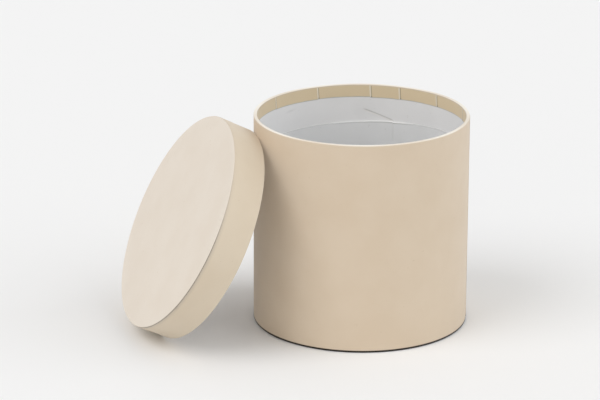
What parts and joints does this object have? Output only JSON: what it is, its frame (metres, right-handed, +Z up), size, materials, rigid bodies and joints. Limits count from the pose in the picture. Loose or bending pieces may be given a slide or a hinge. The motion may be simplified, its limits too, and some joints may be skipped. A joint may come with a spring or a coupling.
{
  "type": "round gift box",
  "caption": "Round rigid gift box of paper-covered board with a shallow lift-off lid, shown open with the lid leaning against its side.",
  "frame": {"origin": "centre of the body's underside, on the table", "axes": "+Z up along the body's axis towards its open rim; the picture looks along +Y, with +X to its right; the lid leans on the -X side"},
  "size_m": [0.3248, 0.2446, 0.1994],
  "materials": {
    "cream_wrap": "matte",
    "lining_paper": "matte",
    "sleeve_card": "matte",
    "greyboard": "matte"
  },
  "bodies": {
    "box": {"body_tube": "greyboard", "base_disc": "greyboard", "body_wrap": "cream_wrap", "base_paper": "cream_wrap", "wall_liner": "lining_paper", "inner_sleeve": "sleeve_card", "floor_liner": "lining_paper"},
    "lid": {"lid_ring": "greyboard", "lid_disc": "greyboard", "lid_top_paper": "cream_wrap", "lid_side_paper": "cream_wrap", "lid_side_liner": "lining_paper", "lid_top_liner": "lining_paper"}
  },
  "joints": [
    {"name": "lid_lift", "type": "slide", "parent": "box", "child": "lid", "axis": [0, 0, 1], "range_m": [0, 0.22]}
  ]
}
